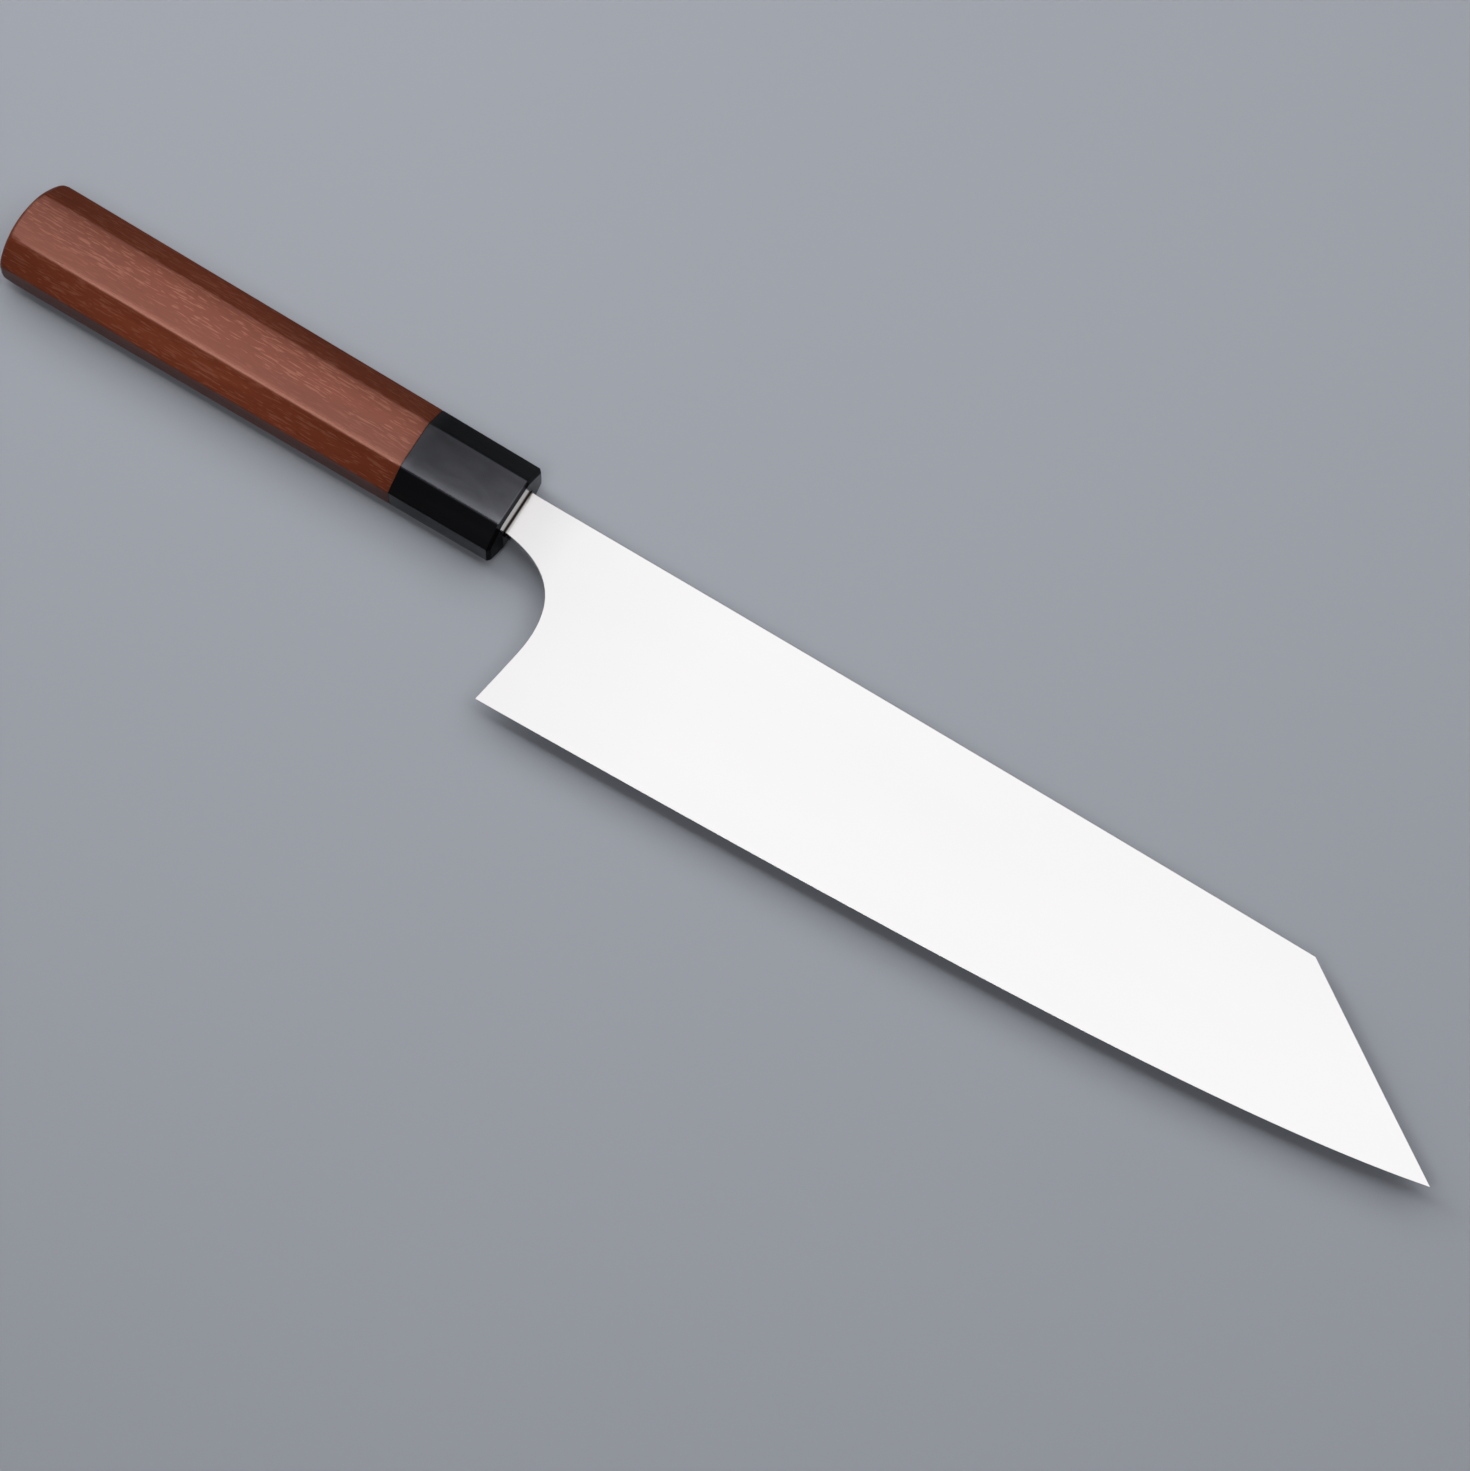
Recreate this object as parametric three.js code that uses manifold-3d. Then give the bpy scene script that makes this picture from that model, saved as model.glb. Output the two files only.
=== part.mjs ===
// Gyuto knife: a long blade with a clipped tip, an octagonal wooden handle and a dark ferrule.
// Millimetres. X runs from the ferrule's front face (X = 0) to the tip, Y from the handle's axis
// to the spine, Z through the thickness with the blade's mid-plane at Z = 0. At the end the knife
// is laid on its left side: the lower facets of the handle lie on Z = 0, under the knife's centre.

import * as THREE from 'three';
import { mergeVertices } from 'three/addons/utils/BufferGeometryUtils.js';
import Module from 'manifold-3d';

// Blade profile
const bladeLength = 270; // ferrule front to tip
const spineRise = 6.5; // handle axis to the spine
const spineBow = 0.35; // how far the spine bulges between neck and clip
const neckHeight = 11.9; // spine to the underside of the neck
const heelOffset = 16; // ferrule front to heel
const heelDrop = 50.75; // spine to heel
const tipDrop = 33.8; // spine to tip
const clipLength = 50.7; // spine corner to tip, measured along the knife

// Cutting edge: one cubic curve from heel to tip
const edgeHeelPull = 129; // length of the curve's handle at the heel
const edgeHeelSlope = 0.026;
const edgeTipPull = 47; // length of the curve's handle at the tip
const edgeTipSlope = 0.206;

// Choil: a straight rise from the heel, then one cubic curve into the underside of the neck
const choilStraight = 14.6; // height of the straight part above the heel
const choilLean = 0.172; // how far it leans towards the tip, per unit of height
const choilPull = 14.8; // height of the curve's handle above the straight part
const neckPull = 14.9; // length of the curve's handle at the neck
const neckSlope = 0.11; // fall of the neck's underside towards the blade

// Blade and tang thickness
const spineAtNeck = 3.2;
const spineAtTip = 1.2;
const edgeLand = 0.2; // width left along the cutting edge
const tangLength = 78; // ferrule front to the tang's end
const tangHeight = 7;
const tangEndHeight = 4.5;
const tangThickness = 2;

// Handle
const handleLength = 143.3; // ferrule front to butt
const ferruleLength = 28.8;
const handleThickness = 18.6;
const frontHeight = 24.3;
const buttHeight = 25.8;
const chamferHeight = 6; // each corner facet's size along Y
const chamferDepth = 5; // each corner facet's size along Z
const frontRound = 1.1; // radius of the ferrule's front corners
const domeDepth = 4; // bulge of the butt

// Dowel that joins ferrule and body, and the resin that beds the tang in it
const dowelDiameter = 13;
const dowelInFerrule = 14;
const dowelPastTang = 7;
const beddingWall = 0.6;
const fit = 0.3; // clearance between pieces that are seated in each other

// Steps along curved surfaces, and how far a cutting body runs past what it cuts
const edgeSteps = 32;
const choilSteps = 16;
const frontSteps = 3;
const domeSteps = 5;
const dowelSides = 32;
const overcut = 2;

// Places worked out from the sizes above
const neckFloor = spineRise - neckHeight;
const neckMiddle = spineRise - neckHeight / 2;
const heel = new THREE.Vector2(heelOffset, spineRise - heelDrop);
const tip = new THREE.Vector2(bladeLength, spineRise - tipDrop);
const spineCorner = new THREE.Vector2(bladeLength - clipLength, spineRise);
const dowelFront = dowelInFerrule - ferruleLength;
const dowelBack = -tangLength - dowelPastTang;
const boreFloor = dowelFront + fit;
const slotHeight = tangHeight + 2 * (beddingWall + 2 * fit);
const slotThickness = tangThickness + 2 * (beddingWall + 2 * fit);

const wasm = await Module();
wasm.setup();

// A closed geometry as a solid that can be joined and cut
function toSolid(geometry) {
  const bare = geometry.clone();
  bare.deleteAttribute('normal');
  bare.deleteAttribute('uv');
  const welded = mergeVertices(bare);
  return new wasm.Manifold(new wasm.Mesh({
    numProp: 3,
    vertProperties: new Float32Array(welded.attributes.position.array),
    triVerts: new Uint32Array(welded.index.array),
  }));
}

function toGeometry(solid) {
  const { vertProperties, triVerts } = solid.getMesh();
  const geometry = new THREE.BufferGeometry();
  geometry.setAttribute('position', new THREE.BufferAttribute(vertProperties, 3));
  geometry.setIndex(new THREE.BufferAttribute(triVerts, 1));
  geometry.computeVertexNormals();
  return geometry;
}

// A skin through sections of [y, z] corners, from the lowest X to the highest, closed at both ends.
// Each section is convex and runs from +Y towards +Z.
function loft(sections) {
  const corners = sections[0].outline.length;
  const points = [];
  for (const { x, outline } of sections) {
    for (const [y, z] of outline) {
      points.push(x, y, z);
    }
  }
  const faces = [];
  const last = (sections.length - 1) * corners;
  for (let start = 0; start < last; start += corners) {
    for (let i = 0; i < corners; i += 1) {
      const here = start + i;
      const next = start + (i + 1) % corners;
      faces.push(here, next, next + corners, here, next + corners, here + corners);
    }
  }
  for (let i = 1; i < corners - 1; i += 1) {
    faces.push(0, i + 1, i);
    faces.push(last, last + i, last + i + 1);
  }
  const geometry = new THREE.BufferGeometry();
  geometry.setAttribute('position', new THREE.Float32BufferAttribute(points, 3));
  geometry.setIndex(faces);
  return toSolid(geometry);
}

// A box between two X positions
function bar(fromX, toX, height, thickness, middleY = 0) {
  const box = new THREE.BoxGeometry(toX - fromX, height, thickness);
  box.translate((fromX + toX) / 2, middleY, 0);
  return toSolid(box);
}

// A round bar along X
function rod(fromX, toX, diameter) {
  const cylinder = new THREE.CylinderGeometry(diameter / 2, diameter / 2, toX - fromX, dowelSides);
  cylinder.rotateZ(Math.PI / 2);
  cylinder.translate((fromX + toX) / 2, 0, 0);
  return toSolid(cylinder);
}

// The blade's profile, with the neck run back into the ferrule and the sides run out straight
// below the cutting edge
function bladeProfile() {
  const floor = heel.y - overcut;
  const choilTop = new THREE.Vector2(heel.x + choilLean * choilStraight, heel.y + choilStraight);
  const clipRun = clipLength / tipDrop;
  const shape = new THREE.Shape();
  shape.moveTo(boreFloor, neckFloor);
  shape.lineTo(0, neckFloor);
  shape.bezierCurveTo(
    neckPull, neckFloor - neckSlope * neckPull,
    choilTop.x + choilLean * choilPull, choilTop.y + choilPull,
    choilTop.x, choilTop.y,
  );
  shape.lineTo(heel.x - choilLean * overcut, floor);
  shape.lineTo(tip.x + clipRun * (tip.y - floor), floor);
  shape.lineTo(spineCorner.x, spineCorner.y);
  shape.quadraticCurveTo(spineCorner.x / 2, spineRise + 2 * spineBow, 0, spineRise);
  shape.lineTo(boreFloor, spineRise);
  shape.closePath();
  const slab = new THREE.ExtrudeGeometry(shape, {
    depth: 2 * spineAtNeck,
    bevelEnabled: false,
    curveSegments: choilSteps,
  });
  slab.translate(0, 0, -spineAtNeck);
  return toSolid(slab);
}

// The wedge between the two faces: widest at the spine, down to the land along the cutting edge,
// and thinner towards the tip
function bladeWedge() {
  const section = (x, edgeY, spine) => {
    const spread = (spine - edgeLand) / (spineRise - edgeY);
    const top = spineRise + overcut;
    const half = (spine + spread * overcut) / 2;
    const land = edgeLand / 2;
    return { x, outline: [[top, -half], [top, half], [edgeY, land], [edgeY, -land]] };
  };
  const taper = (spineAtNeck - spineAtTip) / (bladeLength - heelOffset);
  const spineAt = (x) => spineAtNeck - taper * (x - heelOffset);
  const edge = new THREE.CubicBezierCurve(
    heel,
    new THREE.Vector2(heel.x + edgeHeelPull, heel.y + edgeHeelPull * edgeHeelSlope),
    new THREE.Vector2(tip.x - edgeTipPull, tip.y - edgeTipPull * edgeTipSlope),
    tip,
  );
  const pastTip = tip.x + overcut;
  return loft([
    section(boreFloor - overcut, heel.y, spineAtNeck),
    ...edge.getPoints(edgeSteps).map(({ x, y }) => section(x, y, spineAt(x))),
    section(pastTip, tip.y + overcut * edgeTipSlope, spineAt(pastTip)),
  ]);
}

// The hidden tang, or the space for it when grown by a clearance
function tang(grow = 0) {
  const section = (x, height) => {
    const y = height / 2 + grow;
    const z = tangThickness / 2 + grow;
    return { x, outline: [[y, -z], [y, z], [-y, z], [-y, -z]] };
  };
  return loft([section(-tangLength - grow, tangEndHeight), section(boreFloor + overcut, tangHeight)]);
}

function blade() {
  return bladeProfile().intersect(bladeWedge()).add(tang());
}

// One octagonal section of the handle, whose height grows evenly from ferrule to butt
function handleSection(x, shrink = 1, inset = 0) {
  const height = frontHeight - (buttHeight - frontHeight) * (x / handleLength);
  const y = (height / 2) * shrink - inset;
  const z = (handleThickness / 2) * shrink - inset;
  const flatY = y - chamferHeight * shrink;
  const flatZ = z - chamferDepth * shrink;
  return {
    x,
    outline: [
      [y, -flatZ], [y, flatZ], [flatY, z], [-flatY, z],
      [-y, flatZ], [-y, -flatZ], [-flatY, -z], [flatY, -z],
    ],
  };
}

// The ferrule, rounded at the front, bored from behind for the dowel and slotted for the neck
function ferrule() {
  const sections = [handleSection(-ferruleLength)];
  for (let step = 0; step <= frontSteps; step += 1) {
    const angle = (step / frontSteps) * (Math.PI / 2);
    const x = frontRound * (Math.sin(angle) - 1);
    sections.push(handleSection(x, 1, frontRound * (1 - Math.cos(angle))));
  }
  const bore = rod(-ferruleLength - overcut, boreFloor, dowelDiameter + 2 * fit);
  const slot = bar(boreFloor - overcut, overcut, neckHeight + 2 * fit, spineAtNeck + 2 * fit, neckMiddle);
  return loft(sections).subtract(bore).subtract(slot);
}

// The wooden body with its domed butt, bored from the front for the dowel
function handleBody() {
  const sections = [];
  for (let step = domeSteps; step >= 0; step -= 1) {
    const angle = (step / (domeSteps + 0.5)) * (Math.PI / 2);
    const x = domeDepth * (1 - Math.sin(angle)) - handleLength;
    sections.push(handleSection(x, Math.cos(angle)));
  }
  sections.push(handleSection(-ferruleLength));
  const bore = rod(dowelBack - fit, overcut - ferruleLength, dowelDiameter + 2 * fit);
  return loft(sections).subtract(bore);
}

function tangDowel() {
  const slot = bar(dowelBack - overcut, dowelFront + overcut, slotHeight, slotThickness);
  return rod(dowelBack, dowelFront, dowelDiameter).subtract(slot);
}

function tangBedding() {
  const plug = bar(dowelBack, dowelFront, slotHeight - 2 * fit, slotThickness - 2 * fit);
  return plug.subtract(tang(fit));
}

function piece(name, solid, color, roughness, metalness) {
  const material = new THREE.MeshStandardMaterial({ color, roughness, metalness });
  const mesh = new THREE.Mesh(toGeometry(solid), material);
  mesh.name = name;
  return mesh;
}

const knife = new THREE.Group();
knife.add(
  piece('blade', blade(), 0xf2f1f2, 0.2, 1),
  piece('ferrule', ferrule(), 0x1a1b1d, 0.25, 0),
  piece('handle_body', handleBody(), 0x6d3a2b, 0.45, 0),
  piece('tang_dowel', tangDowel(), 0xb9966a, 0.7, 0),
  piece('tang_bedding', tangBedding(), 0x4a3a24, 0.4, 0),
);

const extent = new THREE.Box3().setFromObject(knife);
const middle = extent.getCenter(new THREE.Vector3());
knife.position.set(-middle.x, -middle.y, -extent.min.z);

export default knife;
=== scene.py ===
"""Gyuto knife lying on its left side: refined blade, ferrule and wooden handle around the CAD frame.

Shapes are written in millimetres in the knife's own frame: X from the ferrule's front face to the tip,
Y from the handle's axis to the spine, Z from the blade's mid-plane. place() puts them in the row frame.
"""

import math

import bpy
import numpy as np
from mathutils import Matrix, Vector


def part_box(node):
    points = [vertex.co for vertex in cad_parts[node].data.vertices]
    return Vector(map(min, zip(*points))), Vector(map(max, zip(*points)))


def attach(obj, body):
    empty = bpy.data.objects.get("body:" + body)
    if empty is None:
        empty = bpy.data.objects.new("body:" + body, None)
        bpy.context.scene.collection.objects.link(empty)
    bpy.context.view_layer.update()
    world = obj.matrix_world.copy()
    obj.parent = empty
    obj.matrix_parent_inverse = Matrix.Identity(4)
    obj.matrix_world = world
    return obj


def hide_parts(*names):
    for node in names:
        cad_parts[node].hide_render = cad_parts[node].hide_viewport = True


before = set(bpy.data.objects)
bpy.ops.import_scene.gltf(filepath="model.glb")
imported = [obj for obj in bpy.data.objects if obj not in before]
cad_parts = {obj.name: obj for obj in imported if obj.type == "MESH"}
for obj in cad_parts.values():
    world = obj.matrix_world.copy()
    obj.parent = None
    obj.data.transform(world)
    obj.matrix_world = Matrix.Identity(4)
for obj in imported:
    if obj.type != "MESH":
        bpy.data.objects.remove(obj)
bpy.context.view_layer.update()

MM = 0.001
ferrule_lo, ferrule_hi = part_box("ferrule")
ORIGIN = Vector((ferrule_hi.x, (ferrule_lo.y + ferrule_hi.y) / 2, (ferrule_lo.z + ferrule_hi.z) / 2))

# Blade: a pull is how far a curve keeps its end's direction, a slope or lean is that direction
BLADE_LENGTH = 270.0
SPINE_RISE = 6.75
SPINE_BOW = 0.35
NECK_HEIGHT = 12.15
HEEL_OFFSET = 16.0
HEEL_DROP = 51.0
TIP_DROP = 34.05
CLIP_LENGTH = 50.7
EDGE_HEEL_PULL, EDGE_HEEL_SLOPE = 129.0, 0.026
EDGE_TIP_PULL, EDGE_TIP_SLOPE = 47.0, 0.2145
CHOIL_STRAIGHT, CHOIL_LEAN, CHOIL_PULL = 14.6, 0.172, 14.8
NECK_PULL, NECK_SLOPE = 14.9, 0.11
SPINE_AT_NECK, SPINE_AT_TIP, EDGE_LAND = 3.2, 1.2, 0.2
NECK_END = -14.5
TANG_LENGTH, TANG_HEIGHT, TANG_END_HEIGHT, TANG_THICKNESS = 78.0, 7.0, 4.5, 2.0
# The rounded arris, which takes up no more than a share of the half thickness
EASED_RADIUS, EASED_SHARE = 0.16, 0.45
MITRE_LIMIT = 0.5
FLAT_NECK_RUN, FLAT_NECK_FLOOR = 26.0, -40.0
NECK_SWELL, NECK_SWELL_RUN = 0.18, 3.0

# Handle
HANDLE_LENGTH = 143.1
FERRULE_LENGTH = 28.8
HANDLE_THICKNESS = 18.6
FRONT_HEIGHT, BUTT_HEIGHT = 24.65, 26.25
FRONT_CHAMFER, BUTT_CHAMFER, CHAMFER_DEPTH = 5.85, 6.3, 4.95
FERRULE_FRONT, FRONT_BEVEL, BEVEL_EASE, BEVEL_LEAD = -0.12, 0.78, 0.2, 0.3
# Fine groove between ferrule and body
SEAM_INSET = 0.12
# Butt: a dome centred towards the edge side, and a rim whose rounding starts at an angle
DOME_RADIUS, DOME_CENTRE = 28.0, -1.5
RIM_RADIUS, RIM_START, RIM_RUN = 1.1, 0.35, 6.0
# How far a rounded ridge reaches into the facets beside it, in the length and at the butt
RIDGE_CUT, BUTT_RIDGE_CUT, BUTT_EASE_RUN = 0.18, 1.5, 9.0
FACET_CROWN, SIDE_CROWN = 0.24, 0.04
# Bores for the dowel in ferrule and body, and the neck's slot in the ferrule's front
BORE_RADIUS, BORE_STEP = 6.8, 0.2
BORE_FLOOR = -14.5
BORE_END = -85.3
SLOT_LIP = 0.6
FIT = 0.3


def place(points):
    """Knife-frame millimetres to row-frame metres."""
    return [tuple(ORIGIN + Vector(p) * MM) for p in points]


def add_mesh(name, points, faces, node, material):
    """Make one smooth piece from knife-frame points, in place of a CAD node."""
    mesh = bpy.data.meshes.new(name)
    mesh.from_pydata(place(points), [], faces)
    mesh.validate()
    mesh.polygons.foreach_set("use_smooth", [True] * len(mesh.polygons))
    mesh.materials.append(material)
    obj = bpy.data.objects.new(name, mesh)
    bpy.context.scene.collection.objects.link(obj)
    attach(obj, "root")
    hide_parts(node)


# Materials
class Nodes:
    """Short calls for building one node material."""

    def __init__(self, name):
        self.material = bpy.data.materials.new(name)
        self.material.use_nodes = True
        self.tree = self.material.node_tree
        self.shader = self.tree.nodes["Principled BSDF"]
        coords = self.tree.nodes.new("ShaderNodeTexCoord")
        self.coords = coords.outputs["Object"]

    def node(self, kind, **values):
        made = self.tree.nodes.new(kind)
        for key, value in values.items():
            setattr(made, key, value)
        return made

    def link(self, source, target):
        self.tree.links.new(source, target)

    def scaled(self, x, y, z, turn=(0.0, 0.0, 0.0), shift=(0.0, 0.0, 0.0)):
        """Object coordinates times a scale for each axis, in cycles per metre."""
        mapping = self.node("ShaderNodeMapping")
        mapping.inputs["Scale"].default_value = (x, y, z)
        mapping.inputs["Rotation"].default_value = turn
        mapping.inputs["Location"].default_value = shift
        self.link(self.coords, mapping.inputs["Vector"])
        return mapping.outputs["Vector"]

    def axis(self, vector, name):
        made = self.node("ShaderNodeSeparateXYZ")
        self.link(vector, made.inputs[0])
        return made.outputs[name]

    def length(self, vector):
        made = self.node("ShaderNodeVectorMath", operation="LENGTH")
        self.link(vector, made.inputs[0])
        return made.outputs["Value"]

    def noise(self, vector, detail=2.0, rough=0.5, distort=0.0):
        """Noise whose scale is already in its coordinates."""
        made = self.node("ShaderNodeTexNoise")
        made.inputs["Scale"].default_value = 1.0
        made.inputs["Detail"].default_value = detail
        made.inputs["Roughness"].default_value = rough
        made.inputs["Distortion"].default_value = distort
        self.link(vector, made.inputs["Vector"])
        return made.outputs["Fac"]

    def ramp(self, value, stops):
        """Colour ramp from (position, colour or grey) stops."""
        made = self.node("ShaderNodeValToRGB")
        elements = made.color_ramp.elements
        while len(elements) < len(stops):
            elements.new(0.5)
        for element, (position, colour) in zip(elements, stops):
            grey = isinstance(colour, (int, float))
            element.position = position
            element.color = (colour, colour, colour, 1.0) if grey else (*colour, 1.0)
        self.link(value, made.inputs["Fac"])
        return made.outputs["Color"]

    def mix(self, factor, a, b, blend="MIX"):
        """Mix two colours; factor, a and b are sockets or constants."""
        made = self.node("ShaderNodeMix", data_type="RGBA", blend_type=blend)
        for value, socket in ((factor, made.inputs[0]), (a, made.inputs[6]), (b, made.inputs[7])):
            if isinstance(value, bpy.types.NodeSocket):
                self.link(value, socket)
            elif isinstance(value, (int, float)):
                socket.default_value = value
            else:
                socket.default_value = (*value, 1.0)
        return made.outputs[2]

    def math(self, operation, a, b=0.0):
        made = self.node("ShaderNodeMath", operation=operation)
        for value, socket in zip((a, b), made.inputs):
            if isinstance(value, bpy.types.NodeSocket):
                self.link(value, socket)
            else:
                socket.default_value = value
        return made.outputs[0]

    def bump(self, height, strength, distance):
        made = self.node("ShaderNodeBump")
        made.inputs["Strength"].default_value = strength
        made.inputs["Distance"].default_value = distance
        self.link(height, made.inputs["Height"])
        return made.outputs["Normal"]

    def set(self, **values):
        """Set inputs of the shader by name, to sockets or constants."""
        for key, value in values.items():
            socket = self.shader.inputs[key.replace("_", " ").title().replace("Ior", "IOR")]
            if isinstance(value, bpy.types.NodeSocket):
                self.link(value, socket)
            elif isinstance(value, tuple):
                socket.default_value = (*value, 1.0)
            else:
                socket.default_value = value


def between(m, axis, start, stop):
    """0 at start and 1 at stop, in millimetres along one axis of the knife's frame."""
    k = "XYZ".index(axis)
    run = (stop - start) * MM
    scale, shift = [1.0] * 3, [0.0] * 3
    scale[k] = 1 / run
    shift[k] = -(ORIGIN[k] + start * MM) / run
    return m.axis(m.scaled(*scale, shift=tuple(shift)), axis)


def steel_material():
    m = Nodes("polished_steel")
    broad = m.noise(m.scaled(9, 40, 40), detail=3, rough=0.55)
    grain = m.noise(m.scaled(60, 2600, 2600), detail=2, rough=0.6)
    tone = m.mix(0.35, broad, grain)
    polish = m.ramp(tone, [(0.3, (0.484, 0.478, 0.480)), (0.7, (0.499, 0.493, 0.495))])
    # Dark, slightly brown line where the neck enters the ferrule, and painted shade: the blade is darkened
    # over its first 60 mm in front of it
    joint_line_and_painted_shade = m.ramp(between(m, "X", -0.5, 79.5), [
        (0.0078, (0.04, 0.032, 0.028)),
        (0.0096, (0.82, 0.790, 0.780)),
        (0.0270, (0.855, 0.846, 0.850)),
        (0.0810, (0.868, 0.866, 0.872)),
        (0.2060, (0.950, 0.950, 0.952)),
        (0.3500, (0.972, 0.972, 0.973)),
        (0.7500, (1.0, 1.0, 1.0)),
    ])
    m.set(
        base_color=m.mix(1.0, polish, joint_line_and_painted_shade, blend="MULTIPLY"),
        metallic=1.0,
        roughness=m.ramp(tone, [(0.25, 0.10), (0.75, 0.13)]),
        normal=m.bump(grain, 0.03, 0.0002),
    )
    return m.material


def height_from_middle(m):
    """Centimetres above or below the knife's mid-plane."""
    return m.math("ABSOLUTE", m.axis(m.scaled(1, 1, 100, shift=(0, 0, -100 * ORIGIN.z)), "Z"))


def facet_gloss_painted_shade(m, flats, chamfers, broad):
    """Specular level: full on the broad facets and their ridges, lower on the chamfers and sides, which
    paints shade on them.
    """
    return m.ramp(height_from_middle(m), [
        (0.44, flats), (0.50, chamfers), (0.882, chamfers), (0.902, broad),
    ])


def across_facets(m, stops):
    """A ramp across the broad facets, from the spine side to the edge side, as (Y, value) stops."""
    start, stop = 6.0, -7.5
    width = start - stop
    return m.ramp(between(m, "Y", start, stop), [((start - y) / width, value) for y, value in stops])


def ridge_wear_and_highlight(m):
    """1 along the broad facets' edge-side ridges, where they are worn smoother and painted pale as a
    highlight, and 0 at the butt.
    """
    ridge = m.ramp(height_from_middle(m), [(0.900, 0.0), (0.906, 1.0), (0.912, 1.0), (0.921, 0.0)])
    edge_side = m.ramp(between(m, "Y", 3.0, -3.0), [(0.0, 0.0), (1.0, 1.0)])
    gripped = m.ramp(between(m, "X", -138.0, -112.0), [(0.0, 0.0), (1.0, 1.0)])
    return m.math("MULTIPLY", m.math("MULTIPLY", ridge, edge_side), gripped)


def horn_material():
    m = Nodes("black_horn")
    streak = m.noise(m.scaled(25, 380, 380), detail=4, rough=0.6, distort=0.3)
    fibre = m.noise(m.scaled(60, 1500, 1500), detail=3, rough=0.6)
    smudge = m.noise(m.scaled(90, 240, 240, turn=(0.0, 0.0, 0.5)), detail=4, rough=0.6, distort=0.8)
    # The front is a mirror around the neck and duller towards its rim; under the neck its gloss is cut
    # almost to nothing, which paints shade there
    to_front = between(m, "X", -2.0, -1.0)
    # The mirror band leans a little from the neck's upright
    lean = 0.27
    neck_middle = (ORIGIN.y + (SPINE_RISE - NECK_HEIGHT / 2) * MM) * math.cos(lean)
    neck_middle += (ORIGIN.z + SPINE_AT_NECK / 2 * MM) * math.sin(lean)
    across_neck = m.scaled(100, 100, 100, turn=(-lean, 0, 0), shift=(0, -100 * neck_middle, 0))
    buffed = m.ramp(m.math("ABSOLUTE", m.axis(across_neck, "Y")), [(0.575, 1.0), (0.60, 0.0)])
    at_front = m.ramp(to_front, [(0.95, 0.0), (1.0, 1.0)])
    front = m.mix(1.0, at_front, buffed, blend="MULTIPLY")
    # Painted shade: the front loses its gloss under the neck
    under_neck = m.ramp(between(m, "Y", NECK_FLOOR + 0.2, NECK_FLOOR - 0.8), [(0.0, 0.0), (1.0, 1.0)])
    painted_shade_under_neck = m.math("MULTIPLY", at_front, under_neck)
    forward = m.ramp(between(m, "X", -FERRULE_LENGTH, 0.0), [
        (0.0, 0.68), (0.4, 0.84), (0.7, 1.0), (0.95, 1.25),
    ])
    # Painted sheen: the broad facets' gloss rises towards their edge-side ridges and falls towards the
    # spine side
    painted_sheen = across_facets(m, [
        (5.75, 0.86), (3.5, 0.95), (0.5, 1.02), (-2.5, 1.09), (-4.0, 1.27),
        (-4.75, 1.63), (-5.5, 2.07), (-6.0, 2.5), (-6.45, 2.6), (-6.9, 1.0),
    ])
    facets = m.mix(1.0, facet_gloss_painted_shade(m, 0.08, 0.09, 0.53), forward, blend="MULTIPLY")
    facets = m.mix(1.0, facets, painted_sheen, blend="MULTIPLY")
    polish = m.mix(front, m.mix(painted_shade_under_neck, facets, (0.004, 0.004, 0.004)), (0.9, 0.9, 0.9))
    handled = m.ramp(smudge, [(0.30, 0.84), (0.70, 1.12)])
    m.set(
        base_color=m.ramp(streak, [
            (0.45, (0.0036, 0.0037, 0.0042)),
            (0.62, (0.0050, 0.0049, 0.0053)),
            (0.75, (0.0085, 0.0080, 0.0081)),
        ]),
        roughness=m.mix(front, m.ramp(fibre, [(0.3, 0.18), (0.7, 0.25)]), (0.07, 0.07, 0.07)),
        coat_weight=m.ramp(front, [(0.0, 0.0), (1.0, 0.5)]),
        ior=1.45,
        specular_tint=(0.88, 0.89, 1.0),
        specular_ior_level=m.mix(1.0, polish, handled, blend="MULTIPLY"),
        normal=m.bump(fibre, 0.06, 0.0002),
    )
    return m.material


PALE_WOOD, DARK_PORE = (0.33, 0.129, 0.082), (0.098, 0.0205, 0.0098)


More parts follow.
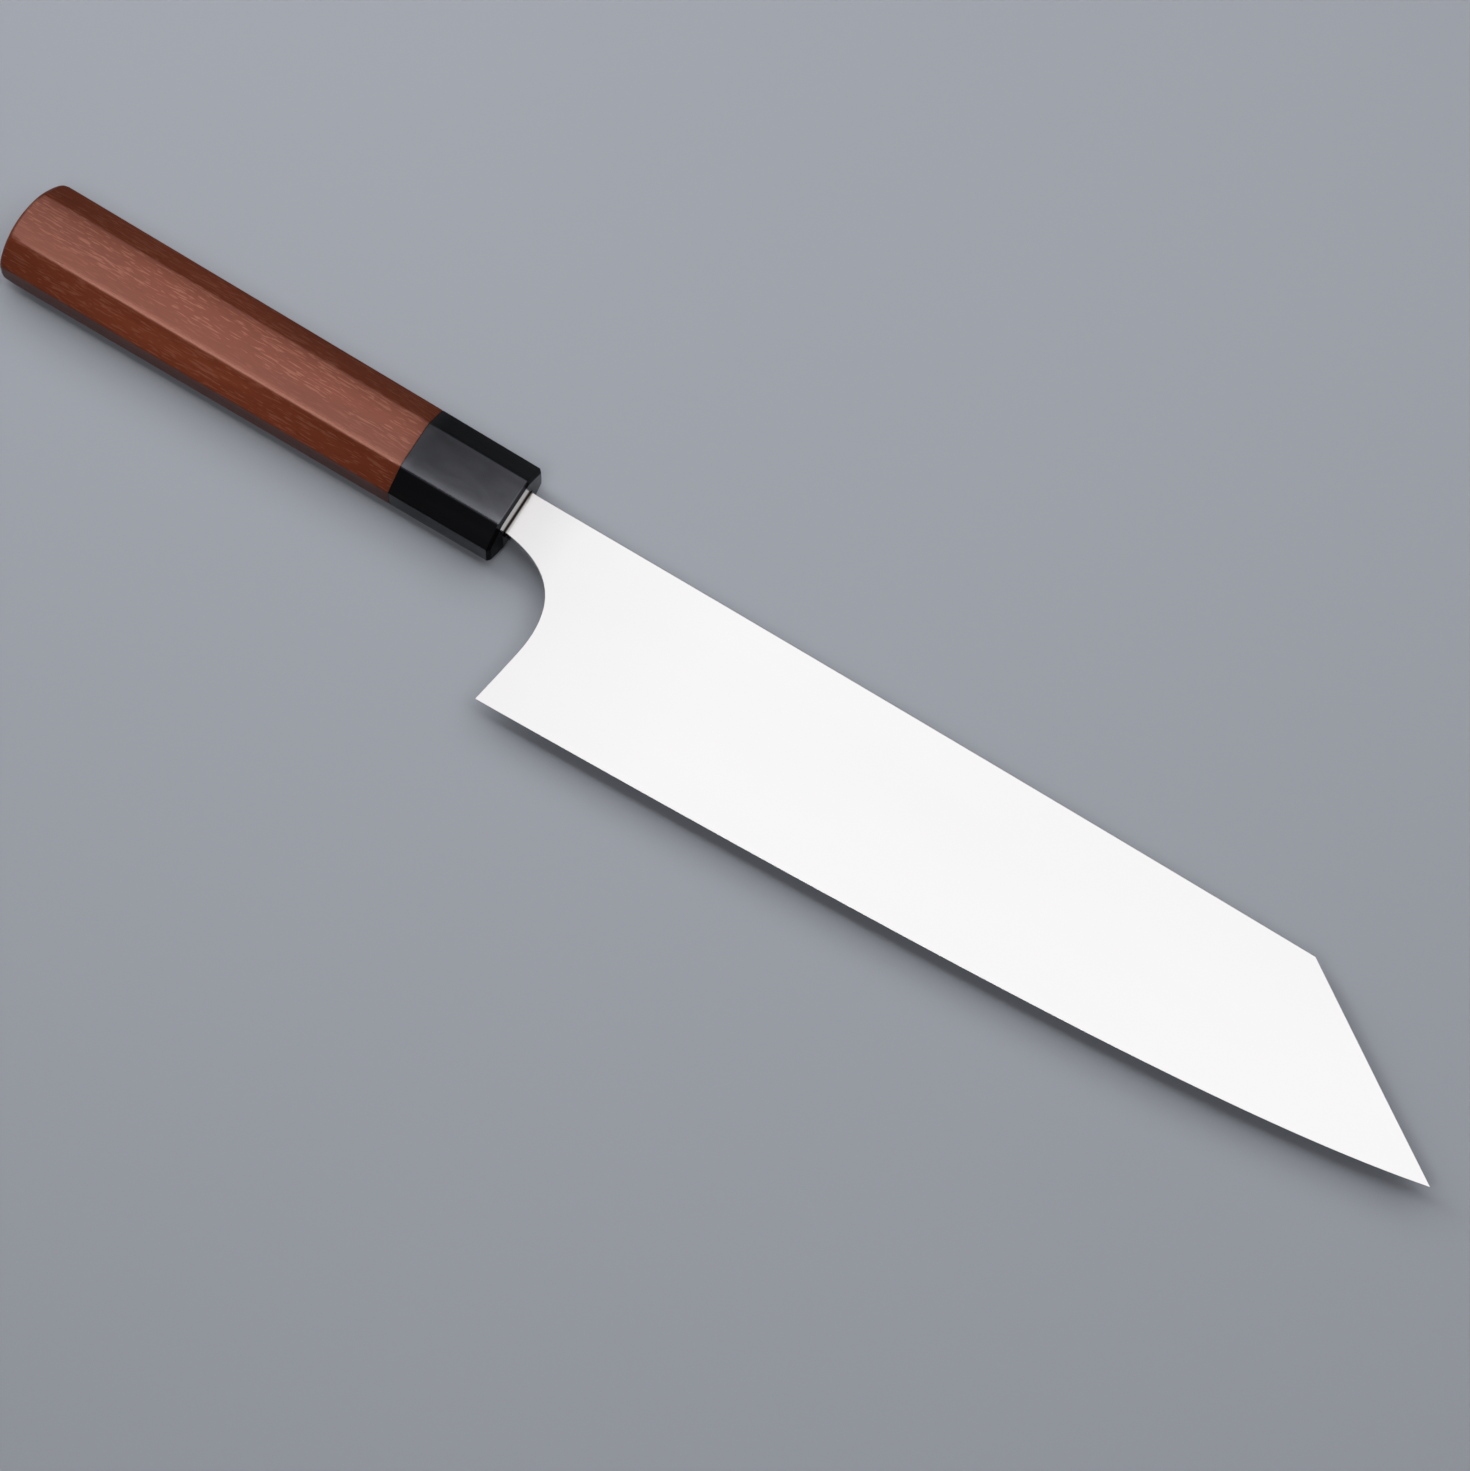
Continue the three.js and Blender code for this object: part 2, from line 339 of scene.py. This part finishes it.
def wood_material():
    m = Nodes("red_brown_wood")
    slant = (0.0, 0.0, 0.05)
    figure = m.noise(m.scaled(14, 110, 110), detail=4, rough=0.55, distort=0.4)
    patch = m.noise(m.scaled(60, 330, 330, turn=slant), detail=2, rough=0.5)
    fleck = m.noise(m.scaled(270, 2700, 2700, turn=slant), detail=1, rough=0.5, distort=0.4)
    dark = m.noise(m.scaled(170, 2600, 2600, turn=slant, shift=(3, 5, 7)), detail=2, rough=0.6, distort=0.4)
    # Painted shade: the wood darkens with distance from a point above the edge side of the upper facet, so
    # the spine side of the broad facets and its chamfers are darker
    shade_centre = Vector((0.0, ORIGIN.y - 0.012, ORIGIN.z + 0.030))
    shade_reach = 0.040
    from_shade_centre = m.math("MULTIPLY", m.length(m.scaled(0, 1, 1, shift=tuple(-shade_centre))), 1 / shade_reach)
    base = m.ramp(figure, [
        (0.3, (0.144, 0.0326, 0.0149)),
        (0.5, (0.168, 0.0382, 0.0174)),
        (0.7, (0.193, 0.0448, 0.0208)),
    ])
    # Painted shade, darker away from that point
    rings = m.ramp(from_shade_centre, [
        (0.63, (1.0, 1.0, 1.0)),
        (0.67, (0.87, 0.87, 0.86)),
        (0.69, (0.76, 0.76, 0.74)),
        (0.71, (0.62, 0.62, 0.59)),
        (0.90, (0.60, 0.60, 0.57)),
    ])
    # Paler wood in the middle of the length
    lengthwise = m.ramp(between(m, "X", -HANDLE_LENGTH, -FERRULE_LENGTH), [
        (0.0, 0.81), (0.2, 0.96), (0.4, 1.05), (0.6, 1.02), (1.0, 0.90),
    ])
    # Flecks are fewer on the chamfers and along the edge side of the broad facets
    by_height = m.ramp(height_from_middle(m), [(0.84, 0.5), (0.90, 1.0)])
    by_side = m.ramp(between(m, "Y", -8.0, 0.0), [(0.0, 1.0), (0.2, 0.35), (0.56, 0.35), (0.88, 1.0)])
    spread = m.math("MULTIPLY", by_height, by_side)
    gathered = m.math("ADD", fleck, m.math("MULTIPLY", m.math("SUBTRACT", patch, 0.5), 0.4))
    flecks = m.math("MULTIPLY", m.ramp(gathered, [(0.555, 0.0), (0.635, 1.0)]), spread)
    pores = m.ramp(dark, [(0.34, 1.0), (0.46, 0.0)])
    wear_and_highlight = ridge_wear_and_highlight(m)
    # Painted sheen: the broad facets' gloss rises towards their edge-side ridges and falls towards the
    # spine side
    painted_sheen = across_facets(m, [
        (5.5, 0.72), (3.5, 0.88), (0.5, 0.98), (-4.0, 1.08),
        (-5.8, 1.12), (-6.1, 1.6), (-6.75, 1.6), (-7.2, 1.0),
    ])
    flecked = m.mix(m.math("MULTIPLY", flecks, 0.62), base, PALE_WOOD)
    toned = m.mix(1.0, m.mix(1.0, flecked, rings, blend="MULTIPLY"), lengthwise, blend="MULTIPLY")
    porous = m.mix(m.math("MULTIPLY", pores, 0.3), toned, DARK_PORE)
    # Painted highlight: a pale line along the broad facets' edge-side ridges
    colour = m.mix(m.math("MULTIPLY", wear_and_highlight, 0.6), porous, PALE_WOOD)
    m.set(
        base_color=colour,
        roughness=m.mix(wear_and_highlight, m.ramp(fleck, [(0.4, 0.28), (0.7, 0.40)]), (0.26, 0.26, 0.26)),
        ior=1.58,
        specular_ior_level=m.mix(1.0, facet_gloss_painted_shade(m, 0.05, 0.05, 0.61), painted_sheen, blend="MULTIPLY"),
        specular_tint=(1.0, 0.55, 0.48),
        normal=m.bump(m.mix(0.5, fleck, dark), 0.10, 0.0003),
    )
    return m.material


def hidden_wood_material():
    m = Nodes("dowel_wood")
    grain = m.noise(m.scaled(30, 900, 900), detail=4, rough=0.6, distort=0.3)
    m.set(
        base_color=m.ramp(grain, [(0.3, (0.42, 0.27, 0.13)), (0.7, (0.56, 0.38, 0.20))]),
        roughness=m.ramp(grain, [(0.3, 0.6), (0.7, 0.75)]),
        normal=m.bump(grain, 0.15, 0.0003),
    )
    return m.material


def resin_material():
    m = Nodes("cured_resin")
    cloud = m.noise(m.scaled(400, 400, 400), detail=3)
    m.set(
        base_color=m.ramp(cloud, [(0.3, (0.065, 0.040, 0.020)), (0.7, (0.095, 0.062, 0.032))]),
        roughness=m.ramp(cloud, [(0.3, 0.35), (0.7, 0.5)]),
        normal=m.bump(cloud, 0.1, 0.0003),
    )
    return m.material


def floor_material():
    m = Nodes("grey_floor")
    cloud = m.noise(m.scaled(3, 3, 3), detail=4)
    m.set(
        base_color=m.ramp(cloud, [(0.3, (0.355, 0.376, 0.419)), (0.7, (0.373, 0.393, 0.436))]),
        roughness=m.ramp(cloud, [(0.3, 0.7), (0.7, 0.8)]),
    )
    return m.material


# Blade
def cubic_curve(p0, p1, p2, p3, t):
    """Points of a curve from p0 to p3, which p1 and p2 pull on, at shares t of the way."""
    t = np.asarray(t)[:, None]
    p0, p1, p2, p3 = (np.array(p, float) for p in (p0, p1, p2, p3))
    return p0 * (1 - t) ** 3 + 3 * p1 * t * (1 - t) ** 2 + 3 * p2 * t * t * (1 - t) + p3 * t ** 3


def resample(points, count):
    """A polyline as count points at even spacing."""
    points = np.asarray(points, float)
    run = np.concatenate([[0], np.cumsum(np.linalg.norm(np.diff(points, axis=0), axis=1))])
    at = np.linspace(0, run[-1], count)
    return np.column_stack([np.interp(at, run, points[:, k]) for k in (0, 1)])


HEEL = np.array([HEEL_OFFSET, SPINE_RISE - HEEL_DROP])
TIP = np.array([BLADE_LENGTH, SPINE_RISE - TIP_DROP])
CORNER = np.array([BLADE_LENGTH - CLIP_LENGTH, SPINE_RISE])
NECK_FLOOR = SPINE_RISE - NECK_HEIGHT
EDGE = cubic_curve(
    HEEL,
    HEEL + EDGE_HEEL_PULL * np.array([1, EDGE_HEEL_SLOPE]),
    TIP - EDGE_TIP_PULL * np.array([1, EDGE_TIP_SLOPE]),
    TIP,
    np.linspace(0, 1, 400),
)


def smooth_step(t):
    """0 up to 0, 1 from 1 on, and smooth between."""
    t = np.clip(t, 0, 1)
    return t * t * (3 - 2 * t)


def half_thickness(p):
    """Half the blade's thickness at points in its plane."""
    x, y = p[:, 0], p[:, 1]
    edge_y = np.interp(x, EDGE[:, 0], EDGE[:, 1])
    taper = (SPINE_AT_NECK - SPINE_AT_TIP) / (BLADE_LENGTH - HEEL_OFFSET)
    spine = SPINE_AT_NECK - taper * np.maximum(x - HEEL_OFFSET, 0)
    share = np.clip((y - edge_y) / (SPINE_RISE - edge_y), 0, None)
    wedge = (EDGE_LAND + (spine - EDGE_LAND) * share) / 2
    # The neck is flat and as thick as its spine, and runs out into the wedge
    raised = smooth_step((y - FLAT_NECK_FLOOR) / (NECK_FLOOR - FLAT_NECK_FLOOR))
    flat = smooth_step(1 - x / FLAT_NECK_RUN) * raised
    swell = NECK_SWELL * np.exp(-np.maximum(x, 0) / NECK_SWELL_RUN)
    return wedge + (spine / 2 - wedge) * flat + swell * flat


def blade_sides(columns, rows):
    """The profile's sides as even polylines: edge, clip, spine, and choil with the neck's end.

    The last value is how many points of the last side lie on the choil.
    """
    choil_top = HEEL + CHOIL_STRAIGHT * np.array([CHOIL_LEAN, 1])
    under = cubic_curve(
        choil_top,
        choil_top + CHOIL_PULL * np.array([CHOIL_LEAN, 1]),
        (NECK_PULL, NECK_FLOOR - NECK_SLOPE * NECK_PULL),
        (0, NECK_FLOOR),
        np.linspace(0, 1, 120),
    )
    t = np.linspace(0, 1, 200)[:, None]
    bow = np.array([CORNER[0] / 2, SPINE_RISE + 2 * SPINE_BOW])
    neck_top = np.array([0, SPINE_RISE])
    spine = neck_top * (1 - t) ** 2 + 2 * bow * t * (1 - t) + CORNER * t * t
    edge = resample(EDGE, columns)
    clip = resample([TIP, CORNER], rows)
    top = resample(np.vstack([[NECK_END, SPINE_RISE], spine]), columns)
    choil_share = 0.8
    choil_rows = int(rows * choil_share)
    choil = resample(np.vstack([HEEL, under, [NECK_END, NECK_FLOOR]]), choil_rows)
    end = resample([[NECK_END, NECK_FLOOR], [NECK_END, SPINE_RISE]], rows - choil_rows + 1)
    return edge, clip, top, np.vstack([choil, end[1:]]), choil_rows


def inward(loop):
    """Mitred inward normals of a closed anticlockwise loop."""
    quarter_turn = np.array([[0, -1], [1, 0]])

    def normals(start, stop):
        along = (stop - start) / np.linalg.norm(stop - start, axis=1)[:, None]
        return along @ quarter_turn.T

    before = normals(np.roll(loop, 1, axis=0), loop)
    after = normals(loop, np.roll(loop, -1, axis=0))
    mean = before + after
    mean /= np.linalg.norm(mean, axis=1)[:, None]
    return mean / np.maximum(np.sum(mean * after, axis=1), MITRE_LIMIT)[:, None]


def relaxed(grid, steps=400):
    """A grid with its inner points moved so that its lines spread smoothly and don't cross."""
    grid = grid.copy()
    for _ in range(steps):
        east, west, north, south = grid[2:, 1:-1], grid[:-2, 1:-1], grid[1:-1, 2:], grid[1:-1, :-2]
        du, dv = east - west, north - south
        a = np.sum(dv * dv, axis=2, keepdims=True)
        b = np.sum(du * dv, axis=2, keepdims=True)
        c = np.sum(du * du, axis=2, keepdims=True)
        twist = grid[2:, 2:] - grid[2:, :-2] - grid[:-2, 2:] + grid[:-2, :-2]
        grid[1:-1, 1:-1] = (a * (east + west) + c * (north + south) - b * twist / 2) / (2 * (a + c))
    return grid


def eased_rings(loop):
    """Rings from the profile inward over its rounded arris, each with its half thickness."""
    normals = inward(loop)
    radius = np.minimum(EASED_RADIUS, EASED_SHARE * half_thickness(loop))
    rings = []
    for share in (0.0, 0.12, 0.4, 1.0, 1.6):
        ring = loop + normals * (radius * share)[:, None]
        drop = radius * (1 - math.sqrt(max(0.0, 1 - (1 - min(share, 1.0)) ** 2)))
        rings.append((ring, half_thickness(ring) - drop))
    return rings


def face_grid(loop, columns, rows):
    """Points over the blade's face, spread between the four sides of a loop around it."""
    cuts = np.cumsum([0, columns - 1, rows - 1, columns - 1, rows - 1])
    sides = [np.vstack([loop[a:b], loop[b % len(loop)]]) for a, b in zip(cuts, cuts[1:])]
    bottom, right, top, left = sides[0], sides[1], sides[2][::-1], sides[3][::-1]
    u = np.linspace(0, 1, columns)[:, None, None]
    v = np.linspace(0, 1, rows)[None, :, None]
    grid = (
        (1 - v) * bottom[:, None] + v * top[:, None] + (1 - u) * left[None] + u * right[None]
        - (1 - u) * (1 - v) * bottom[0] - u * (1 - v) * bottom[-1]
        - (1 - u) * v * top[0] - u * v * top[-1]
    )
    return relaxed(grid).reshape(-1, 2)


def grid_border(first, columns, rows):
    """Point numbers around a grid, in the profile's order."""
    return (
        [first + i * rows for i in range(columns - 1)]
        + [first + (columns - 1) * rows + j for j in range(rows - 1)]
        + [first + i * rows + rows - 1 for i in range(columns - 1, 0, -1)]
        + [first + j for j in range(rows - 1, 0, -1)]
    )


def blade_side(points, faces, side, rings, grid, columns, rows):
    """Add one face of the blade with its rounded arris, and return the number of its first point.

    side is 1 for the right face and -1 for the left.
    """
    count = len(rings[0][0])
    first = len(points)
    for ring, z in rings[:-1]:
        points += [(x, y, side * h) for (x, y), h in zip(ring, z)]
    inside = len(points)
    points += [(x, y, side * h) for (x, y), h in zip(grid, half_thickness(grid))]
    loops = [[first + k * count + i for i in range(count)] for k in range(len(rings) - 1)]
    loops.append(grid_border(inside, columns, rows))
    made = []
    for outer, inner in zip(loops, loops[1:]):
        for i in range(count):
            n = (i + 1) % count
            made.append((outer[i], outer[n], inner[n], inner[i]))
    for i in range(columns - 1):
        for j in range(rows - 1):
            a = inside + i * rows + j
            made.append((a, a + rows, a + rows + 1, a + 1))
    faces += made if side > 0 else [face[::-1] for face in made]
    return first


def tang(points, faces, rim, share):
    """Add the tang to the neck's open end: narrowed to its height and thickness, then run back.

    rim numbers the open end's points up one face and down the other; share is their height, -0.5 to 0.5.
    """
    z = TANG_THICKNESS / 2
    for x, height in ((NECK_END, TANG_HEIGHT), (-TANG_LENGTH, TANG_END_HEIGHT)):
        start = len(points)
        points += [(x, s * height, z) for s in share] + [(x, s * height, -z) for s in share[::-1]]
        ring = list(range(start, start + len(rim)))
        for i in range(len(rim)):
            n = (i + 1) % len(rim)
            faces.append((ring[i], ring[n], rim[n], rim[i]))
        rim = ring
    last = len(rim) - 1
    for i in range(len(share) - 1):
        faces.append((rim[last - i], rim[last - 1 - i], rim[i + 1], rim[i]))


def blade_piece(material):
    columns, rows = 150, 44
    edge, clip, top, left, choil_rows = blade_sides(columns, rows)
    loop = np.vstack([edge[:-1], clip[:-1], top[::-1][:-1], left[::-1][:-1]])
    rings = eased_rings(loop)
    grid = face_grid(rings[-1][0], columns, rows)
    points, faces = [], []
    upper = blade_side(points, faces, 1, rings, grid, columns, rows)
    lower = blade_side(points, faces, -1, rings, grid, columns, rows)
    # The rim between the faces, open at the neck's end where the tang goes on
    count = len(loop)
    end_from = 2 * (columns - 1) + rows - 1
    end_to = end_from + rows - choil_rows
    for i in range(count):
        n = (i + 1) % count
        if not end_from <= i < end_to:
            faces.append((lower + i, lower + n, upper + n, upper + i))
    mouth = list(range(end_from, end_to + 1))
    ys = np.array([loop[i % count][1] for i in mouth])
    share = (ys - ys.min()) / (ys.max() - ys.min()) - 0.5
    tang(points, faces, [upper + i for i in mouth] + [lower + i for i in mouth[::-1]], share)
    add_mesh("knife_blade", points, faces, "blade", material)


# Handle
def octagon(x, inset=0.0, across=8, arc=6):
    """One section of the handle: eight facets, the broad ones crowned, and rounded ridges."""
    to_butt = -x / HANDLE_LENGTH
    height = FRONT_HEIGHT + (BUTT_HEIGHT - FRONT_HEIGHT) * to_butt
    chamfer_height = FRONT_CHAMFER + (BUTT_CHAMFER - FRONT_CHAMFER) * to_butt
    y, z = height / 2 - SIDE_CROWN, HANDLE_THICKNESS / 2 - FACET_CROWN
    chamfer = math.hypot(chamfer_height, CHAMFER_DEPTH)
    out_y, out_z = CHAMFER_DEPTH / chamfer, chamfer_height / chamfer
    # Half widths of the broad and side facets; an inset moves all eight facets in by the same distance
    broad = y - chamfer_height - inset * (1 - out_z) / out_y
    side = z - CHAMFER_DEPTH - inset * (1 - out_y) / out_z
    y -= inset
    z -= inset
    corners = np.array([
        (y, -side), (y, side), (broad, z), (-broad, z), (-y, side), (-y, -side), (-broad, -z), (broad, -z),
    ])

    def on_facet(k, t):
        """Point on the facet after corner k, at the share t of its width."""
        start, stop = corners[k % 8], corners[(k + 1) % 8]
        along = stop - start
        out = np.array([along[1], -along[0]]) / np.linalg.norm(along)
        crown = FACET_CROWN if k % 4 == 2 else SIDE_CROWN
        return start + along * t + out * crown * (1 - (2 * t - 1) ** 4)

    near_butt = max(0.0, 1 - (x + HANDLE_LENGTH) / BUTT_EASE_RUN)
    ridge = RIDGE_CUT + (BUTT_RIDGE_CUT - RIDGE_CUT) * near_butt ** 2
    outline = []
    for k in range(8):
        widths = [np.linalg.norm(corners[(j + 1) % 8] - corners[j % 8]) for j in (k - 1, k)]
        cut = ridge / widths[1]
        p0, p1, p2 = on_facet(k - 1, 1 - ridge / widths[0]), corners[k], on_facet(k, cut)
        for i in range(arc + 1):
            t = i / arc
            outline.append(p0 * (1 - t) ** 2 + 2 * p1 * t * (1 - t) + p2 * t * t)
        outline += [on_facet(k, cut + (1 - 2 * cut) * i / across) for i in range(1, across)]
    return [(x, oy, oz) for oy, oz in outline]


def circle_like(ring, x, radius):
    """A round ring at x with one point for each point of another ring, at the same angle."""
    made = []
    for _, y, z in ring:
        angle = math.atan2(z, y)
        made.append((x, radius * math.cos(angle), radius * math.sin(angle)))
    return made


def slot_like(ring, x):
    """The neck slot's outline at x, with one point for each point of another ring."""
    middle = SPINE_RISE - NECK_HEIGHT / 2
    hy, hz = NECK_HEIGHT / 2 + FIT, SPINE_AT_NECK / 2 + FIT
    made = []
    for _, y, z in ring:
        angle = math.atan2(z / HANDLE_THICKNESS, y / FRONT_HEIGHT)
        c, s = math.cos(angle), math.sin(angle)
        reach = 1 / max(abs(c), abs(s))
        made.append((x, middle + hy * c * reach, hz * s * reach))
    return made


def skin(rings, closed=False):
    """Quads through rings of equal length, from the first to the last."""
    points = [p for ring in rings for p in ring]
    count = len(rings[0])
    faces = []
    for k in range(len(rings) if closed else len(rings) - 1):
        a, b = k * count, ((k + 1) % len(rings)) * count
        for i in range(count):
            n = (i + 1) % count
            faces.append((a + i, a + n, b + n, b + i))
    return points, faces


def shrunk(ring, share):
    """A ring drawn in towards the handle's axis."""
    return [(x, y * share, z * share) for x, y, z in ring]


def partway(ring, other, share):
    """A ring the given share of the way from one ring to another in the same plane."""
    return [(x, y + (oy - y) * share, z + (oz - z) * share) for (x, y, z), (_, oy, oz) in zip(ring, other)]


def domed(ring):
    """A ring at the butt, moved onto the dome by each point's distance from the dome's centre."""
    return [(x + ((y - DOME_CENTRE) ** 2 + z * z) / (2 * DOME_RADIUS), y, z) for x, y, z in ring]


def ferrule_piece(material):
    rings = [octagon(-FERRULE_LENGTH, inset=SEAM_INSET)]
    bevel_start = FERRULE_FRONT - FRONT_BEVEL - BEVEL_EASE - BEVEL_LEAD
    rings += [octagon(x) for x in np.linspace(-FERRULE_LENGTH + SEAM_INSET, bevel_start, 8)]
    # Front bevel at 45 degrees, with both its corners eased
    for corner, before, after in (
        ((-FRONT_BEVEL, 0), (-1, 0), (0.7, 0.7)), ((0, FRONT_BEVEL), (-0.7, -0.7), (0, 1)),
    ):
        for t in np.linspace(0, 1, 5):
            pull = np.array(before) * (1 - t) ** 2 + np.array(after) * t ** 2
            x, inset = np.array(corner) + BEVEL_EASE * pull
            rings.append(octagon(FERRULE_FRONT + x, inset=inset))
    # Front face, with rings near its rim and slot that keep it flat, then the slot and the bore
    front = rings[-1]
    mouth = slot_like(front, FERRULE_FRONT)
    rings += [shrunk(front, 0.97), partway(front, mouth, 0.9), mouth]
    rings += [slot_like(front, FERRULE_FRONT - SLOT_LIP), slot_like(front, BORE_FLOOR)]
    rings.append(circle_like(front, BORE_FLOOR - BORE_STEP, BORE_RADIUS))
    rings.append(circle_like(front, -FERRULE_LENGTH, BORE_RADIUS))
    points, faces = skin(rings, closed=True)
    add_mesh("handle_ferrule", points, faces, "ferrule", material)


def body_piece(material):
    # The butt's dome, its eased rim, then the body and its bore
    rim = octagon(-HANDLE_LENGTH, inset=RIM_RADIUS * (1 - math.sin(RIM_START)))
    rings = [domed(shrunk(rim, share)) for share in np.linspace(0.05, 0.97, 12)]
    for angle in np.linspace(RIM_START, math.pi / 2, 8):
        at = -HANDLE_LENGTH + RIM_RADIUS * (1 - math.cos(angle))
        rings.append(domed(octagon(at, inset=RIM_RADIUS * (1 - math.sin(angle)))))
    rings += [octagon(x) for x in np.linspace(RIM_RUN - HANDLE_LENGTH, -FERRULE_LENGTH - SEAM_INSET, 30)]
    rings.append(octagon(-FERRULE_LENGTH, inset=SEAM_INSET))
    front = rings[-1]
    rings.append(circle_like(front, -FERRULE_LENGTH, BORE_RADIUS))
    rings.append(circle_like(front, BORE_END, BORE_RADIUS))
    points, faces = skin(rings)
    count = len(front)
    last = (len(rings) - 1) * count
    faces.append(tuple(range(count))[::-1])
    faces.append(tuple(range(last, last + count)))
    add_mesh("handle_wood_body", points, faces, "handle_body", material)


blade_piece(steel_material())
ferrule_piece(horn_material())
body_piece(wood_material())
for node, material in (("tang_dowel", hidden_wood_material()), ("tang_bedding", resin_material())):
    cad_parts[node].data.materials.clear()
    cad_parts[node].data.materials.append(material)

# Floor
bpy.ops.mesh.primitive_plane_add(size=8.0, location=(0, 0, 0))
floor = bpy.context.object
floor.name = "floor"
floor.data.materials.append(floor_material())


# Light
def area_light(name, location, target, shape, size, radiance, size_y=None):
    """A soft light of even radiance, which the camera doesn't see."""
    lamp = bpy.data.lights.new(name, "AREA")
    lamp.shape = shape
    lamp.size = size
    area = math.pi * (size / 2) ** 2
    if size_y:
        lamp.size_y = size_y
        area = size * size_y
    lamp.energy = radiance * math.pi * area
    obj = bpy.data.objects.new(name, lamp)
    obj.location = location
    obj.rotation_euler = (Vector(target) - Vector(location)).to_track_quat("-Z", "Y").to_euler()
    obj.visible_camera = False
    bpy.context.scene.collection.objects.link(obj)
    return obj


LIGHT_HEIGHT, PANEL_STEP = 0.7, 0.004
LIGHT_LEFT, LIGHT_RIGHT = -1.65, 0.46
# One softbox, brighter towards its middle: panels between two angles from overhead, one just under another
PANELS = (
    ("softbox", -3.0, 33.0, 1.2),
    ("softbox_middle", -3.0, 19.0, 0.66),
    ("softbox_core", -3.0, 6.2, 2.5),
    ("softbox_back", 31.0, 50.0, 1.1),
)
EDGE_LIGHT_AWAY, EDGE_LIGHT_TILT = 1.2, math.radians(21)
EDGE_LIGHT_SIZE, EDGE_LIGHT_RADIANCE = 0.34, 7.6
# The point that the lights are set around
middle = ORIGIN + Vector((40.0, -20.0, 0.0)) * MM
for number, (name, start, stop, radiance) in enumerate(PANELS):
    height = LIGHT_HEIGHT - PANEL_STEP * number
    low, high = (height * math.tan(math.radians(angle)) for angle in (start, stop))
    spot = Vector((middle.x + (LIGHT_LEFT + LIGHT_RIGHT) / 2, middle.y + (low + high) / 2, height))
    below = spot - Vector((0, 0, 1))
    panel = area_light(name, spot, below, "RECTANGLE", LIGHT_RIGHT - LIGHT_LEFT, radiance, high - low)
    # The core lights the knife, but the polished blade would mirror it as pure white
    panel.visible_glossy = name != "softbox_core"
lamp_at = middle + EDGE_LIGHT_AWAY * Vector((0.0, -math.sin(EDGE_LIGHT_TILT), math.cos(EDGE_LIGHT_TILT)))
area_light("edge_light", lamp_at, middle, "DISK", EDGE_LIGHT_SIZE, EDGE_LIGHT_RADIANCE)

WORLD_DIM = (0.065, 0.065, 0.07)
# Height above the horizon, as a sine, and the walls' grey there
WALLS = (
    (0.0, (0.17, 0.175, 0.19)),
    (0.34, (0.34, 0.35, 0.37)),
    (0.64, (0.52, 0.53, 0.55)),
    (0.90, WORLD_DIM),
)


def studio_world():
    """Dim surroundings, which the camera and the polished surfaces see as pale grey walls."""
    world = bpy.data.worlds.new("studio")
    world.use_nodes = True
    tree = world.node_tree
    direction = tree.nodes.new("ShaderNodeTexCoord").outputs["Generated"]
    split = tree.nodes.new("ShaderNodeSeparateXYZ")
    walls = tree.nodes.new("ShaderNodeValToRGB")
    rays = tree.nodes.new("ShaderNodeLightPath").outputs
    seen = tree.nodes.new("ShaderNodeMath")
    seen.operation = "MAXIMUM"
    colour = tree.nodes.new("ShaderNodeMix")
    colour.data_type = "RGBA"
    colour.inputs[6].default_value = (*WORLD_DIM, 1.0)
    elements = walls.color_ramp.elements
    while len(elements) < len(WALLS):
        elements.new(0.5)
    for element, (height, tone) in zip(elements, WALLS):
        element.position = height
        element.color = (*tone, 1.0)
    for source, target in (
        (direction, split.inputs[0]),
        (split.outputs["Z"], walls.inputs["Fac"]),
        (rays["Is Camera Ray"], seen.inputs[0]),
        (rays["Is Glossy Ray"], seen.inputs[1]),
        (seen.outputs[0], colour.inputs[0]),
        (walls.outputs["Color"], colour.inputs[7]),
        (colour.outputs[2], tree.nodes["Background"].inputs["Color"]),
    ):
        tree.links.new(source, target)
    return world


bpy.context.scene.world = studio_world()

# Camera: the photograph's pinhole, in the knife's own frame
CAMERA_AT = Vector((261.9, -380.15, 1376.46))
CAMERA_RIGHT = Vector((0.85237, 0.52254, 0.02047))
CAMERA_UP = Vector((-0.50623, 0.81468, 0.28288))
FOCAL_PIXELS, IMAGE_WIDTH = 6000.0, 1470.0
camera_data = bpy.data.cameras.new("camera")
camera_data.sensor_fit = "HORIZONTAL"
camera_data.sensor_width = 36.0
camera_data.lens = FOCAL_PIXELS / IMAGE_WIDTH * camera_data.sensor_width
camera = bpy.data.objects.new("camera", camera_data)
back = CAMERA_RIGHT.cross(CAMERA_UP).normalized()
right = CAMERA_RIGHT.normalized()
up = back.cross(right)
turn = Matrix((right, up, back)).transposed().to_4x4()
camera.matrix_world = Matrix.Translation(ORIGIN + CAMERA_AT * MM) @ turn
bpy.context.scene.collection.objects.link(camera)
bpy.context.scene.camera = camera
bpy.context.scene.view_settings.view_transform = "Standard"
